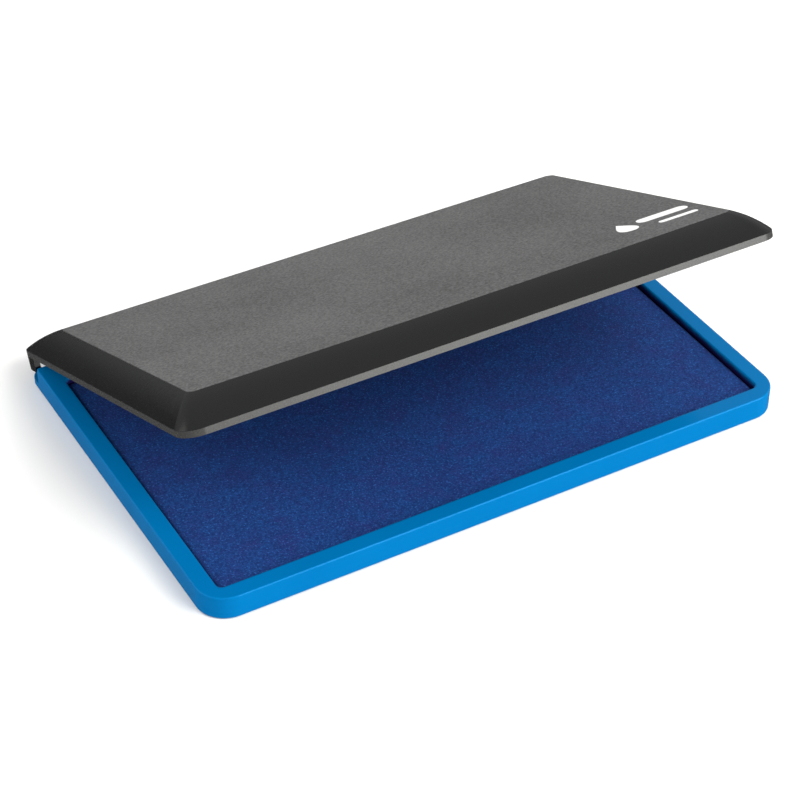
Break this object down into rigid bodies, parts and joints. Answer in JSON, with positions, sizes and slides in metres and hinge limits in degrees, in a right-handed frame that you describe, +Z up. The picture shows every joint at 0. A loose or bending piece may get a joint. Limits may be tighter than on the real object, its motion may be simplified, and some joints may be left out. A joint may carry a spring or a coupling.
{
  "type": "ink pad",
  "caption": "Flat ink pad for rubber stamps: an ink-soaked cloth pad in a shallow tray, under a bevelled lid hinged along the rear edge.",
  "frame": {"origin": "centre of the tray's underside, leaving out the ledge behind it, on the surface that the pad stands on", "axes": "+X along the length of the tray, +Y from the front edge to the hinge, +Z up"},
  "size_m": [0.17, 0.1163, 0.0552],
  "materials": {
    "tray_plastic": "satin, moulded",
    "plate_plastic": "matt sheet",
    "felt": "ink-soaked felt",
    "cloth": "ink-soaked fine cloth",
    "lid_plastic": "satin bevels, finely grained top"
  },
  "bodies": {
    "base": {"base_tray": "tray_plastic", "backing_plate": "plate_plastic", "felt_core": "felt", "ink_cloth": "cloth"},
    "lid": {"lid_shell": "lid_plastic"}
  },
  "joints": [
    {"name": "lid_hinge", "type": "hinge", "parent": "base", "child": "lid", "pos_m": [0, 0.0583, 0.0062], "axis": [-1, 0, 0], "range_deg": [-23.1, 81.9]}
  ]
}
